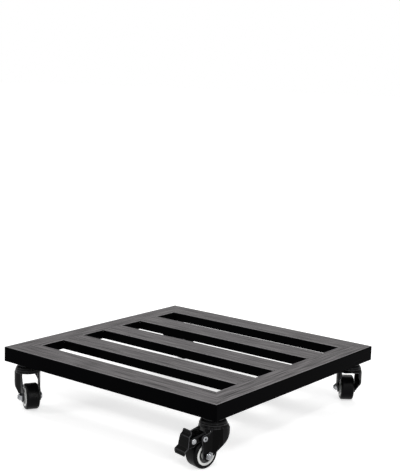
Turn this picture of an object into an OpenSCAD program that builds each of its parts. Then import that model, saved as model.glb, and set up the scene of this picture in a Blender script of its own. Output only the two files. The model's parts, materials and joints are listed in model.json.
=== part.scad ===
// Square rolling plant caddy: a welded slatted steel frame on four swivel casters,
// two of them with a foot brake. Millimetres, +Z up, origin on the floor at the centre.

/* [Frame] */
// Side of the square frame
frame_side = 400; // [360:5:460]
// Height of the outer skirt
skirt_h = 22; // [20:1:30]
// Depth of the legs that face the slots
inner_leg_h = 14; // [13:0.5:16]
// Width of the top of the front and back rails
rail_w = 45; // [36:1:50]
// Width of the top of the left and right rails
side_rail_w = 35; // [34:1:44]
// Width of the top of each slat
slat_w = 45; // [24:1:50]
// Thickness of the folded steel
sheet_t = 1.5; // [1:0.1:2]
// Outside radius of the folds
fold_r = 2.2; // [2.1:0.1:3]
// Radius of the frame's outer corners, seen from above
corner_r = 1.5; // [1:0.1:2]
// Height of the frame's lower edge above the floor
ground_clear = 69; // [66:1:80]

/* [Caster mounting] */
// Distance from the left and right edges to the swivel axis
inset_x = 24; // [20:0.5:25]
// Distance from the front and back edges to the swivel axis
inset_y = 26; // [20:0.5:26]
// Thickness of the corner plate
plate_t = 3; // [2:0.5:4]
// Diameter of the caster stem
stem_d = 8; // [7:0.5:9]
// Radius of the collar under the corner plate
collar_r = 9; // [8:0.5:10]
// Thickness of the collar
collar_t = 2.5; // [2:0.5:3]
// Height of the stem nut with its flange
stem_nut_h = 7; // [6:0.5:7.5]
// Width of the stem nut across its flats
stem_nut_af = 12; // [11.5:0.5:13]

/* [Swivel] */
// Radius of the upper race
race_r = 15; // [14.5:0.5:16]
// Height of the upper race above the balls' track
race_h = 7.1; // [6:0.1:8]
// Depth of the lip round the upper race
race_lip_h = 1.8; // [1:0.1:2.1]
// Diameter of a bearing ball
ball_d = 4; // [3.6:0.1:4.2]
// Radius of the circle of balls
ball_pitch_r = 11.4; // [11:0.1:11.5]
// Depth to which a ball sits in each track
ball_sink = 0.8; // [0.5:0.1:0.9]
// Radius of the crown's side wall
crown_r = 18; // [17.6:0.1:18.4]
// Radius of the band round the crown's lower edge
band_r = 18.8; // [18.5:0.1:19.2]
// Height of that band
band_h = 5; // [3:0.5:6]
// Height of the crown from its top to its lower edge
crown_h = 9.5; // [8.5:0.5:11.5]
// Radius of the crown's shoulder
shoulder_r = 4; // [3.5:0.1:4.5]
// Thickness of the fork's steel
fork_t = 2; // [1.8:0.1:2.3]
// Radius of the pin head under the crown
pin_head_r = 7.5; // [6:0.5:9]
// Thickness of the pin head
pin_head_t = 2.5; // [2:0.5:3]
// Bevel under the pin head
pin_head_bevel = 1; // [0.5:0.1:1.5]

/* [Fork] */
// Distance from the swivel axis back to the axle
trail = 19; // [18:0.5:21]
// Radius of the fork legs round the swivel axis
leg_r = 19.5; // [19.3:0.1:20]
// Outside of each fork leg at the axle, from the middle
leg_y = 13.8; // [13.5:0.1:14.2]
// Where the fork legs become parallel, behind the swivel axis
leg_bend_x = 12; // [10:0.5:12]
// Front edge of the fork legs, ahead of the swivel axis
leg_front = 12; // [9:0.5:14]
// Back edge of the fork legs at the crown, behind the swivel axis
leg_back = 14; // [11:0.5:15]
// Radius of the knees of the fork legs
knee_r = 6; // [4:0.5:7]
// Drop from the crown's lower edge to the knees
knee_drop = 6.5; // [4:0.5:7.5]
// Radius of the lower end of the fork legs
leg_end_r = 8; // [7:0.5:9]

/* [Wheel] */
// Diameter of the wheel
wheel_d = 39; // [38:0.5:40]
// Width of the tyre
tyre_w = 20; // [18:0.5:20.5]
// Radius of the tyre's shoulders
tyre_round = 3; // [1:0.5:4]
// Outside radius of the pale ring, where the tyre starts
ring_r = 14.5; // [13.5:0.1:15.5]
// Width of the pale ring
ring_w = 3.3; // [2.5:0.1:4]
// How far the ring stands out of the tyre's side
ring_proud = 0.2; // [0:0.1:0.4]
// Thickness of the web inside the wheel
web_t = 6; // [4:0.5:8]
// Radius of the hub
hub_r = 7.2; // [6:0.1:8]
// Depth of the hub cover below the ring's face
cover_sink = 1; // [0.5:0.1:2]
// Thickness of a hub cover
cover_t = 1.4; // [1:0.1:2]
// Outside diameter of the bush in the hub
bush_d = 9; // [8:0.5:10]
// Diameter of the axle bolt
axle_d = 6; // [5:0.5:6.5]
// Height of the axle nut
axle_nut_h = 5; // [4:0.5:6]
// Width of the axle nut across its flats
axle_nut_af = 10; // [9.5:0.5:11]
// Height of the axle bolt's round head
bolt_head_h = 2.6; // [2:0.1:3.5]
// Rounding of the bolt head
bolt_head_round = 1.2; // [0.8:0.1:1.6]

/* [Brake] */
// Distance of the pedal's pivot behind the swivel axis
pivot_x = 24.5; // [24:0.5:26]
// Height of the pedal's pivot above the axle
pivot_rise = 23; // [22.5:0.5:25]
// Turn of the pedal from open to locked, in degrees
pedal_turn = 18; // [12:1:18]
// Thickness of the pedal's steel
pedal_t = 1.5; // [1.2:0.1:1.6]
// Width of the pedal's arm
arm_w = 20; // [18:0.5:21]
// Length of the arm in front of its pivot
arm_front = 4; // [3:0.5:5]
// Height of the arm's top above the pivot
arm_rise = 6.6; // [6.5:0.1:8]
// Slope of the arm's top, in degrees
arm_slope = 13; // [8:1:13]
// Radius of the arm's upper folds
arm_r = 2; // [1.7:0.1:3]
// Distance of the pad's upper edge behind the pivot
pad_back = 19; // [18.5:0.5:21]
// Height of the pad's upper edge above the pivot
pad_rise = 12.9; // [11:0.1:14]
// Drop from the pad's upper edge to its tip
pad_drop = 30; // [28:0.5:32]
// How far the pad's tip stands behind its upper edge
pad_kick = 11; // [10:0.5:13]
// Height of the two upright lips of the pad
lip_h = 4.6; // [3:0.1:6]
// How far the upper lip stands in front of the tread
lip_step_top = 3.4; // [2:0.1:4]
// How far the lower lip stands behind the tread
lip_step_tip = 5.2; // [3:0.1:6]
// Width of the pad at its upper edge
pad_top_w = 17; // [15:0.5:19]
// Width of the pad at its tip
pad_w = 22; // [20:0.5:24]
// Radius of the rolled edge at the pad's tip
lip_r = 1.3; // [1:0.1:1.6]
// Width of the brake shoe
shoe_w = 16; // [12:0.5:16.5]
// Thickness of the brake shoe's curved face
shoe_t = 3.4; // [3:0.1:4]
// Diameter of the pedal's pivot
brake_pin_d = 4; // [3:0.5:4.5]
// Distance of the shoe's pin behind the pivot
shoe_pin_back = 15.2; // [14.5:0.1:16]
// Drop of the shoe's pin below the pivot
shoe_pin_drop = 1.5; // [1.5:0.1:2.5]
// Diameter of the shoe's pin
shoe_pin_d = 3; // [2:0.5:3.5]
// Radius of the heads of the brake's pins
brake_head_r = 3.8; // [3:0.1:4]

/* [Caster headings] */
// Heading of the front left caster, in degrees
heading_front_left = 331; // [0:1:359]
// Heading of the front right caster, in degrees
heading_front_right = 258; // [0:1:359]
// Heading of the back right caster, in degrees
heading_back_right = 129; // [0:1:359]
// Heading of the back left caster, in degrees
heading_back_left = 78; // [0:1:359]

/* [Hidden] */

$fn = 64;

// Colours
paint_black = "#1b1b1d";
steel_black = "#161617";
rubber_black = "#202022";
cover_black = "#151516";
ring_grey = "#d3d4d2";
zinc = "#b9bcc0";
steel_bright = "#9a9da1";

// Gaps between pieces that move on each other
run_gap = 0.05;
side_gap = 0.1;
shoe_gap = 0.3;
hub_gap = 0.7;
wheel_gap = 0.6;
// Spare length of a cutting solid past the face that it cuts
past = 1;
// Offset that keeps two faces from touching along a line only
hair = 0.02;

// Heights of the frame
top_z = ground_clear + skirt_h;
plate_top_z = top_z - inner_leg_h;
plate_low_z = plate_top_z - plate_t;
half_side = frame_side / 2;
slat_count = 3;
slot_w = (frame_side - 2 * rail_w - slat_count * slat_w) / (slat_count + 1);
slat_pitch = slat_w + slot_w;
slat_l = frame_side - 2 * side_rail_w;

// Corners of the frame: which side in X, which side in Y, and the caster's heading
front_left = [-1, -1, heading_front_left];
front_right = [1, -1, heading_front_right];
back_right = [1, 1, heading_back_right];
back_left = [-1, 1, heading_back_left];
corners = [front_left, front_right, back_right, back_left];
// Side on which each axle nut lies: 1 is the left one, seen along the trail
nut_side_left = 1;
nut_side_right = -1;

// Heights of the swivel, from the corner plate down
stem_end = 2;
race_top_z = plate_low_z - collar_t;
race_low_z = race_top_z - race_h;
ball_z = race_low_z - (ball_d / 2 - ball_sink);
crown_top_z = ball_z - (ball_d / 2 - ball_sink);
crown_low_z = crown_top_z - crown_h;
dome_r = leg_r + hair;
dome_z = crown_top_z - shoulder_r - sqrt(abs(leg_r * leg_r - crown_r * crown_r));
ball_count = 14;
race_lip_t = 1.3;

// Wheel and fork
axle_z = wheel_d / 2;
knee_z = crown_low_z - knee_drop;
leg_inner_y = leg_y - fork_t;
cover_out_y = tyre_w / 2 + ring_proud - cover_sink;
ring_in_r = ring_r - ring_w;
hub_half = leg_inner_y - hub_gap;
ear_r = 5;
fork_reach = 2 * pivot_x;

// Brake, in the caster's own frame: X back along the trail, Z up
pivot_z = axle_z + pivot_rise;
cheek_out_y = arm_w / 2;
arm_front_x = pivot_x - arm_front;
arm_top_z = pivot_z + arm_rise;
pad_top = [pivot_x + pad_back, pivot_z + pad_rise];
pad_tip = pad_top + [pad_kick, -pad_drop];
tread_top = pad_top + [lip_step_top, -lip_h - lip_step_top];
tread_low = pad_tip + [-lip_step_tip, lip_h + lip_step_top];
pad_corner = 2;
shoe_pin_x = pivot_x + shoe_pin_back;
shoe_pin_z = pivot_z - shoe_pin_drop;
boss_wall = 1.1;
shoe_boss_r = shoe_pin_d / 2 + boss_wall;
shoe_face_r = wheel_d / 2 + shoe_gap;
shoe_from = 18;
shoe_to = 50;
brake_head_t = 1.2;

// Places its children at a corner's swivel axis, turned to the caster's heading
module at_corner(corner) {
    translate([corner[0] * (half_side - inset_x), corner[1] * (half_side - inset_y), 0])
        rotate([0, 0, corner[2]])
            children();
}

// Turns its children so that their Z axis lies along the axle
module along_axle(x, z) {
    translate([x, 0, z])
        rotate([-90, 0, 0])
            children();
}

// Raises a side view, drawn in X and Z, into a solid of the given width about the middle
module side_solid(width) {
    rotate([90, 0, 0])
        linear_extrude(height = width, center = true)
            children();
}

// Flat link with round ends: two circles and the straight sides that touch them both,
// drawn a hair inside them so that every edge crosses cleanly
module round_link(a, ra, b, rb) {
    d = b - a;
    length = norm(d);
    turn = atan2(d[1], d[0]);
    lean = acos((ra - rb) / length);
    up = [cos(turn + lean), sin(turn + lean)];
    down = [cos(turn - lean), sin(turn - lean)];
    translate(a) circle(r = ra);
    translate(b) circle(r = rb);
    polygon([a + (ra - hair) * down, b + (rb - hair) * down,
        b + (rb - hair) * up, a + (ra - hair) * up]);
}

// Square with its two upper corners rounded, standing on the Y axis's zero, centred in X
module arched_square(width, height, r) {
    translate([-width / 2, 0]) square([width, height - r]);
    translate([r - width / 2, 0]) square([width - 2 * r, height]);
    for (side = [-1, 1])
        translate([side * (width / 2 - r), height - r]) circle(r = r);
}

// Section of a folded channel, open below: X across, the top face at Y = 0
module channel_section(width, left_leg, right_leg) {
    deep = max(left_leg, right_leg);
    difference() {
        translate([width / 2, -deep]) arched_square(width, deep, fold_r);
        translate([width / 2, -deep - past])
            arched_square(width - 2 * sheet_t, deep + past - sheet_t, fold_r - sheet_t);
        translate([-past, -deep - past]) square([width / 2 + past, deep + past - left_leg]);
        translate([width / 2, -deep - past])
            square([width / 2 + past, deep + past - right_leg]);
    }
}

// Outline of the frame from above, with rounded corners
module frame_plan() {
    square([frame_side - 2 * corner_r, frame_side], center = true);
    square([frame_side, frame_side - 2 * corner_r], center = true);
    for (corner = corners)
        translate([corner[0] * (half_side - corner_r), corner[1] * (half_side - corner_r)])
            circle(r = corner_r);
}

// One rail along the front edge, cut to a mitre at both ends with rails of another width
module rail(width, next_width) {
    inner_end = half_side - next_width;
    inner_y = width - half_side;
    intersection() {
        translate([-half_side, -half_side, top_z])
            rotate([90, 0, 90])
                linear_extrude(height = frame_side)
                    channel_section(width, skirt_h, inner_leg_h);
        translate([0, 0, ground_clear - past])
            linear_extrude(height = skirt_h + 2 * past)
                intersection() {
                    frame_plan();
                    polygon([[-half_side, -half_side], [half_side, -half_side],
                        [inner_end, inner_y], [-inner_end, inner_y]]);
                }
    }
}

module front_rail() color(paint_black) rail(rail_w, side_rail_w);
module right_rail() color(paint_black) rotate([0, 0, 90]) rail(side_rail_w, rail_w);
module back_rail() color(paint_black) rotate([0, 0, 180]) rail(rail_w, side_rail_w);
module left_rail() color(paint_black) rotate([0, 0, 270]) rail(side_rail_w, rail_w);

// Slat between the end rails, counted from the front
module slat(index) {
    color(paint_black)
        translate([-slat_l / 2, rail_w + slot_w - half_side + index * slat_pitch, top_z])
            rotate([90, 0, 90])
                linear_extrude(height = slat_l)
                    channel_section(slat_w, inner_leg_h, inner_leg_h);
}

// Plate that closes the corner under the mitre and carries the stem
module corner_plate(corner) {
    size = [side_rail_w - sheet_t, rail_w - sheet_t, plate_t];
    middle = half_side - sheet_t;
    color(paint_black)
        difference() {
            translate([corner[0] * (middle - size[0] / 2), corner[1] * (middle - size[1] / 2),
                plate_low_z + plate_t / 2])
                cube(size, center = true);
            at_corner(corner)
                translate([0, 0, plate_low_z - past])
                    cylinder(d = stem_d, h = plate_t + 2 * past);
        }
}

// Stem with its collar, the pin that the fork turns on, and the pin's round head
module stem(corner) {
    head_top_z = crown_top_z - fork_t - side_gap;
    stem_top_z = plate_top_z + stem_nut_h + stem_end;
    tip = 0.8;
    color(zinc)
        at_corner(corner) {
            translate([0, 0, head_top_z])
                cylinder(d = stem_d, h = stem_top_z - tip - head_top_z);
            translate([0, 0, stem_top_z - tip])
                cylinder(d1 = stem_d, d2 = stem_d - 2 * tip, h = tip);
            translate([0, 0, race_top_z])
                cylinder(r = collar_r, h = collar_t);
            translate([0, 0, head_top_z - pin_head_t])
                cylinder(r1 = pin_head_r - pin_head_bevel, r2 = pin_head_r, h = pin_head_bevel);
            translate([0, 0, head_top_z - pin_head_t + pin_head_bevel])
                cylinder(r = pin_head_r, h = pin_head_t - pin_head_bevel);
        }
}

// Flange nut on each stem, above its corner plate
module stem_nuts() {
    flange_reach = 1.8;
    flange_r = stem_nut_af / 2 + flange_reach;
    flange_t = 1.4;
    for (corner = corners)
        color(zinc)
            at_corner(corner)
                translate([0, 0, plate_top_z])
                    difference() {
                        union() {
                            cylinder(r = flange_r, h = flange_t);
                            cylinder(d = stem_nut_af / cos(30), h = stem_nut_h, $fn = 6);
                        }
                        translate([0, 0, -past])
                            cylinder(d = stem_d, h = stem_nut_h + 2 * past);
                    }
}

// Half section of the upper race: a round-shouldered cup with a lip and a ball track
module race_section() {
    shoulder = 5;
    lip_z = race_low_z - race_lip_h;
    difference() {
        union() {
            translate([0, race_low_z]) square([race_r - shoulder, race_h]);
            translate([race_r - shoulder, race_top_z - shoulder]) circle(r = shoulder);
            translate([0, lip_z]) square([race_r, race_top_z - shoulder - lip_z]);
        }
        translate([-past, lip_z - 2 * past])
            square([race_r - race_lip_t + past, race_lip_h + 2 * past]);
        translate([ball_pitch_r, ball_z]) circle(r = ball_d / 2 + run_gap);
        translate([-past, race_low_z - past])
            square([stem_d / 2 + past, race_h + 2 * past]);
    }
}

module upper_race(corner) {
    color(steel_black)
        at_corner(corner)
            rotate_extrude()
                race_section();
}

// Half section of the fork's crown: a cup open below, with a band round its edge
module crown_section() {
    wall_top_z = crown_top_z - shoulder_r;
    shoulder_x = crown_r - shoulder_r;
    difference() {
        union() {
            translate([0, crown_low_z]) square([shoulder_x, crown_h]);
            translate([shoulder_x, wall_top_z]) circle(r = shoulder_r);
            translate([0, crown_low_z]) square([crown_r, wall_top_z - crown_low_z]);
            translate([0, crown_low_z]) square([band_r, band_h]);
        }
        translate([-past, crown_low_z - past])
            square([shoulder_x + past, crown_h - fork_t + past]);
        translate([shoulder_x, wall_top_z]) circle(r = shoulder_r - fork_t);
        translate([-past, crown_low_z - past])
            square([crown_r - fork_t + past, wall_top_z - crown_low_z + past]);
        translate([ball_pitch_r, ball_z]) circle(r = ball_d / 2 + run_gap);
        translate([-past, crown_low_z - past])
            square([stem_d / 2 + run_gap + past, crown_h + 2 * past]);
    }
}

// Outline of the fork's legs from above: round at the front, drawn in behind the axis
module leg_plan(r, y) {
    intersection() {
        circle(r = r);
        translate([-2 * r, -2 * r]) square([2 * r, 4 * r]);
    }
    polygon([[0, -r], [leg_bend_x, -y], [fork_reach, -y],
        [fork_reach, y], [leg_bend_x, y], [0, r]]);
}

// Outline of a fork leg from the side
module leg_side(with_brake) {
    front_knee = [knee_r - leg_front, knee_z];
    back_knee = [leg_back - knee_r, knee_z];
    axle = [trail, axle_z];
    translate([-leg_front, knee_z]) square([leg_front + leg_back, crown_top_z - knee_z]);
    round_link(front_knee, knee_r, axle, leg_end_r);
    round_link(back_knee, knee_r, axle, leg_end_r);
    polygon([front_knee, axle, back_knee]);
    if (with_brake) {
        round_link(back_knee, knee_r, [pivot_x, pivot_z], ear_r);
        round_link([pivot_x, pivot_z], ear_r, axle, leg_end_r);
        polygon([back_knee, axle, [pivot_x, pivot_z]]);
    }
}

// Fork pressed from one sheet: crown, shoulders and two legs
module fork(corner, with_brake) {
    color(steel_black)
        at_corner(corner)
            difference() {
                union() {
                    rotate_extrude() crown_section();
                    intersection() {
                        linear_extrude(height = crown_top_z)
                            difference() {
                                leg_plan(leg_r, leg_y);
                                leg_plan(leg_r - fork_t, leg_inner_y);
                            }
                        side_solid(4 * leg_r) leg_side(with_brake);
                        union() {
                            cylinder(r = 2 * fork_reach, h = dome_z);
                            translate([0, 0, dome_z]) sphere(r = dome_r);
                        }
                    }
                }
                along_axle(trail, axle_z)
                    cylinder(d = axle_d, h = 4 * leg_y, center = true);
                if (with_brake)
                    along_axle(pivot_x, pivot_z)
                        cylinder(d = brake_pin_d, h = 4 * leg_y, center = true);
            }
}

module swivel_balls(corner) {
    for (i = [0 : ball_count - 1])
        color(steel_bright)
            at_corner(corner)
                rotate([0, 0, i * 360 / ball_count])
                    translate([ball_pitch_r, 0, ball_z])
                        sphere(d = ball_d);
}

// Half section of a round head, its flat face at zero and its top above
module head_section(r, h, round) {
    intersection() {
        union() {
            square([r, h - round]);
            square([r - round, h]);
            translate([r - round, h - round]) circle(r = round);
        }
        square([r, h]);
    }
}

// Axle bolt, drawn with its nut towards +Z
module axle_bolt(corner, nut_side) {
    bolt_end = 1.6;
    head_r = 5.2;
    socket_af = 4;
    socket_h = 1.6;
    color(zinc)
        at_corner(corner)
            along_axle(trail, axle_z)
                rotate([nut_side > 0 ? 0 : 180, 0, 0]) {
                    translate([0, 0, -leg_y])
                        cylinder(d = axle_d, h = 2 * leg_y + axle_nut_h + bolt_end);
                    difference() {
                        translate([0, 0, -leg_y])
                            mirror([0, 0, 1])
                                rotate_extrude()
                                    head_section(head_r, bolt_head_h, bolt_head_round);
                        translate([0, 0, -leg_y - bolt_head_h - past])
                            cylinder(d = socket_af / cos(30), h = socket_h + past, $fn = 6);
                    }
                }
}

// Lock nut: a hexagon and the round collar over its ring
module axle_nut(corner, nut_side) {
    collar_h = 1.4;
    color(zinc)
        at_corner(corner)
            along_axle(trail, axle_z)
                rotate([nut_side > 0 ? 0 : 180, 0, 0])
                    translate([0, 0, leg_y])
                        difference() {
                            union() {
                                cylinder(d = axle_nut_af / cos(30),
                                    h = axle_nut_h - collar_h, $fn = 6);
                                cylinder(d = axle_nut_af - 1, h = axle_nut_h);
                            }
                            translate([0, 0, -past])
                                cylinder(d = axle_d, h = axle_nut_h + 2 * past);
                        }
}

// Rectangle of a revolved section: from one radius to another, centred across the wheel
module band(r_in, r_out, half) {
    translate([r_in, -half]) square([r_out - r_in, 2 * half]);
}

// Moulded wheel core: hub, web and the rim whose edges show as a pale ring
module wheel_core(corner) {
    color(ring_grey)
        at_corner(corner)
            along_axle(trail, axle_z)
                rotate_extrude() {
                    band(bush_d / 2, hub_r, hub_half);
                    band(hub_r - past / 2, ring_in_r + past / 2, web_t / 2);
                    band(ring_in_r, ring_r, tyre_w / 2 + ring_proud);
                }
}

module tyre(corner) {
    color(rubber_black)
        at_corner(corner)
            along_axle(trail, axle_z)
                rotate_extrude()
                    difference() {
                        union() {
                            band(ring_r, wheel_d / 2 - tyre_round, tyre_w / 2);
                            band(ring_r, wheel_d / 2, tyre_w / 2 - tyre_round);
                            for (side = [-1, 1])
                                translate([wheel_d / 2 - tyre_round,
                                    side * (tyre_w / 2 - tyre_round)])
                                    circle(r = tyre_round);
                        }
                        band(0, ring_r, tyre_w);
                    }
}

// Round covers that keep threads and dirt out of the hub, one on each side
module hub_covers(corner) {
    for (side = [-1, 1])
        color(cover_black)
            at_corner(corner)
                along_axle(trail, axle_z)
                    translate([0, 0, side * (cover_out_y - cover_t / 2)])
                        difference() {
                            cylinder(r = ring_in_r, h = cover_t, center = true);
                            cylinder(r = hub_r, h = cover_t + 2 * past, center = true);
                        }
}

module axle_bush(corner) {
    color(steel_bright)
        at_corner(corner)
            along_axle(trail, axle_z)
                rotate_extrude()
                    band(axle_d / 2 + run_gap, bush_d / 2, leg_inner_y - side_gap);
}

// Cross pin of the brake with a head at each end; a hollow one is a tubular rivet
module cross_pin(x, z, d, half, hollow) {
    head_round = 0.8;
    hole_deep = 3;
    along_axle(x, z)
        difference() {
            union() {
                cylinder(d = d, h = 2 * half, center = true);
                for (side = [0, 1])
                    mirror([0, 0, side])
                        translate([0, 0, half])
                            rotate_extrude()
                                head_section(brake_head_r, brake_head_t, head_round);
            }
            if (hollow)
                for (side = [0, 1])
                    mirror([0, 0, side])
                        translate([0, 0, half + brake_head_t - hole_deep])
                            cylinder(d = 0.65 * d, h = hole_deep + past);
        }
}

// Pin on which the pedal turns, held in the fork's ears
module brake_pin(corner) {
    color(zinc)
        at_corner(corner)
            cross_pin(pivot_x, pivot_z, brake_pin_d, leg_y, true);
}

// Pin that carries the shoe between the pedal's cheeks
module shoe_pin(corner) {
    color(zinc)
        at_corner(corner)
            cross_pin(shoe_pin_x, shoe_pin_z, shoe_pin_d, cheek_out_y, false);
}

// Turns a side view of what grips the wheel from the locked pedal back to the open one
module turned_open() {
    translate([pivot_x, pivot_z])
        rotate(pedal_turn)
            translate([-pivot_x, -pivot_z])
                children();
}

// Block with rounded upper edges that runs down the slope of the pedal's arm
module arm_block(half, top, r) {
    deep = 2 * pad_drop;
    reach = 2 * pad_drop;
    translate([pivot_x, 0, arm_top_z])
        rotate([0, arm_slope, 0])
            translate([-reach, 0, -deep - top])
                rotate([90, 0, 90])
                    linear_extrude(height = 2 * reach)
                        arched_square(2 * half, deep, r);
}

// Side view of the arm, cut clear of the wheel in the open and in the locked position
module arm_side() {
    high_z = arm_top_z + arm_front + past;
    difference() {
        polygon([[arm_front_x, tread_low[1]], tread_low, tread_top,
            [tread_top[0], high_z], [arm_front_x, high_z]]);
        translate([trail, axle_z]) circle(r = wheel_d / 2 + wheel_gap);
        turned_open()
            translate([trail, axle_z]) circle(r = wheel_d / 2 + wheel_gap);
    }
}

// Side view of the pad: a straight tread between an upper and a lower upright lip
module pad_side() {
    bends = [pad_top, pad_top - [0, lip_h], tread_top, tread_low, pad_tip + [0, lip_h], pad_tip];
    for (i = [1 : len(bends) - 1])
        round_link(bends[i - 1], pedal_t / 2, bends[i], pedal_t / 2);
}

// The pad from behind: narrow above, as wide as the arm where they meet, wide at the tip
module pad_front() {
    low = pad_tip[1] - pedal_t / 4;
    high = pad_top[1] + pedal_t / 4;
    half = [[pad_w / 2 - pad_corner, low], [pad_w / 2, low + pad_corner],
        [cheek_out_y, tread_top[1] - lip_h], [pad_top_w / 2, high - pad_corner],
        [pad_top_w / 2 - pad_corner, high]];
    polygon(concat(half, [for (i = [len(half) - 1 : -1 : 0]) [-half[i][0], half[i][1]]]));
}

// Foot pedal folded from one sheet: an arm between the fork's legs and the pad behind it
module brake_pedal(corner) {
    color(steel_black)
        at_corner(corner)
            difference() {
                union() {
                    intersection() {
                        difference() {
                            arm_block(cheek_out_y, 0, arm_r);
                            arm_block(cheek_out_y - pedal_t, pedal_t, arm_r - pedal_t);
                        }
                        side_solid(4 * cheek_out_y) arm_side();
                    }
                    intersection() {
                        side_solid(2 * pad_w) pad_side();
                        rotate([90, 0, 90])
                            linear_extrude(height = 2 * pad_tip[0])
                                pad_front();
                    }
                    along_axle(pad_tip[0], pad_tip[1])
                        cylinder(r = lip_r, h = pad_w - 2 * pad_corner, center = true);
                }
                along_axle(pivot_x, pivot_z)
                    cylinder(d = brake_pin_d + 2 * run_gap, h = 4 * cheek_out_y, center = true);
                along_axle(shoe_pin_x, shoe_pin_z)
                    cylinder(d = shoe_pin_d, h = 4 * cheek_out_y, center = true);
            }
}

// Brake shoe, laid out where it grips the tyre and turned back to the open position
module brake_shoe(corner) {
    pin_dx = shoe_pin_x - pivot_x;
    pin_dz = shoe_pin_z - pivot_z;
    boss = [pivot_x + cos(pedal_turn) * pin_dx + sin(pedal_turn) * pin_dz,
        pivot_z - sin(pedal_turn) * pin_dx + cos(pedal_turn) * pin_dz];
    axle = [trail, axle_z];
    shoe_mid = (shoe_from + shoe_to) / 2;
    grip = axle + (shoe_face_r + shoe_t / 2) * [cos(shoe_mid), sin(shoe_mid)];
    color(rubber_black)
        at_corner(corner)
            side_solid(shoe_w)
                turned_open()
                    difference() {
                        union() {
                            intersection() {
                                translate(axle) circle(r = shoe_face_r + shoe_t);
                                polygon([axle,
                                    axle + 2 * wheel_d * [cos(shoe_from), sin(shoe_from)],
                                    axle + 2 * wheel_d * [cos(shoe_to), sin(shoe_to)]]);
                            }
                            round_link(boss, shoe_boss_r, grip, shoe_t);
                        }
                        translate(axle) circle(r = shoe_face_r);
                        translate(boss) circle(d = shoe_pin_d);
                    }
}

front_rail();
back_rail();
left_rail();
right_rail();
slat(0);  // front_slat
slat(1);  // middle_slat
slat(2);  // back_slat
corner_plate(front_left);  // corner_plate_front_left
corner_plate(front_right);  // corner_plate_front_right
corner_plate(back_right);  // corner_plate_back_right
corner_plate(back_left);  // corner_plate_back_left
stem(front_left);  // stem_front_left
stem(front_right);  // stem_front_right
stem(back_right);  // stem_back_right
stem(back_left);  // stem_back_left
stem_nuts();
upper_race(front_left);  // upper_race_front_left
upper_race(front_right);  // upper_race_front_right
upper_race(back_right);  // upper_race_back_right
upper_race(back_left);  // upper_race_back_left
fork(front_left, false);  // fork_front_left
fork(front_right, true);  // fork_front_right
fork(back_right, false);  // fork_back_right
fork(back_left, true);  // fork_back_left
swivel_balls(front_left);  // swivel_balls_front_left
swivel_balls(front_right);  // swivel_balls_front_right
swivel_balls(back_right);  // swivel_balls_back_right
swivel_balls(back_left);  // swivel_balls_back_left
axle_bolt(front_left, nut_side_right);  // axle_bolt_front_left
axle_bolt(front_right, nut_side_left);  // axle_bolt_front_right
axle_bolt(back_right, nut_side_left);  // axle_bolt_back_right
axle_bolt(back_left, nut_side_left);  // axle_bolt_back_left
axle_nut(front_left, nut_side_right);  // axle_nut_front_left
axle_nut(front_right, nut_side_left);  // axle_nut_front_right
axle_nut(back_right, nut_side_left);  // axle_nut_back_right
axle_nut(back_left, nut_side_left);  // axle_nut_back_left
wheel_core(front_left);  // wheel_core_front_left
wheel_core(front_right);  // wheel_core_front_right
wheel_core(back_right);  // wheel_core_back_right
wheel_core(back_left);  // wheel_core_back_left
tyre(front_left);  // tyre_front_left
tyre(front_right);  // tyre_front_right
tyre(back_right);  // tyre_back_right
tyre(back_left);  // tyre_back_left
hub_covers(front_left);  // hub_covers_front_left
hub_covers(front_right);  // hub_covers_front_right
hub_covers(back_right);  // hub_covers_back_right
hub_covers(back_left);  // hub_covers_back_left
axle_bush(front_left);  // axle_bush_front_left
axle_bush(front_right);  // axle_bush_front_right
axle_bush(back_right);  // axle_bush_back_right
axle_bush(back_left);  // axle_bush_back_left
brake_pin(front_right);  // brake_pin_front_right
brake_pin(back_left);  // brake_pin_back_left
brake_pedal(front_right);  // brake_pedal_front_right
brake_pedal(back_left);  // brake_pedal_back_left
shoe_pin(front_right);  // shoe_pin_front_right
shoe_pin(back_left);  // shoe_pin_back_left
brake_shoe(front_right);  // brake_shoe_front_right
brake_shoe(back_left);  // brake_shoe_back_left
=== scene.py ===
import json
import math

import bpy
from bpy.props import FloatProperty, FloatVectorProperty, IntProperty, PointerProperty
from mathutils import Matrix, Vector


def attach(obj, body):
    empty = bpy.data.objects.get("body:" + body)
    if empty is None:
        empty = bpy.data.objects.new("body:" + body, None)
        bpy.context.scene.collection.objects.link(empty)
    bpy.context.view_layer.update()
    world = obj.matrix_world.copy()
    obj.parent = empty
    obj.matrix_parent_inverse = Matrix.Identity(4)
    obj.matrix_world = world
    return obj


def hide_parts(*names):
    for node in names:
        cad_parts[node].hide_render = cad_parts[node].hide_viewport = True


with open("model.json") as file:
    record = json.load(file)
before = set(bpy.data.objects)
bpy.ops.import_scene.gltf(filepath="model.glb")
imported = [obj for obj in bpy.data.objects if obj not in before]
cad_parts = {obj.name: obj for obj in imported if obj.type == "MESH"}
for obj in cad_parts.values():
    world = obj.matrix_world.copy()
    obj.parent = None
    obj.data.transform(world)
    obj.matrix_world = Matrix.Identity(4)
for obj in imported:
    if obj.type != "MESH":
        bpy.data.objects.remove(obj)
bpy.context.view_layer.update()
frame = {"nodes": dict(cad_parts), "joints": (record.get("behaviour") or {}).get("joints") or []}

bl_info = {
    "name": "Rolling plant caddy",
    "version": (1, 0, 0),
    "blender": (4, 5, 0),
    "location": "3D View > Sidebar > Caddy",
    "description": "Finishes and small parts of a slatted steel plant caddy on four casters",
    "category": "Object",
}

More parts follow.
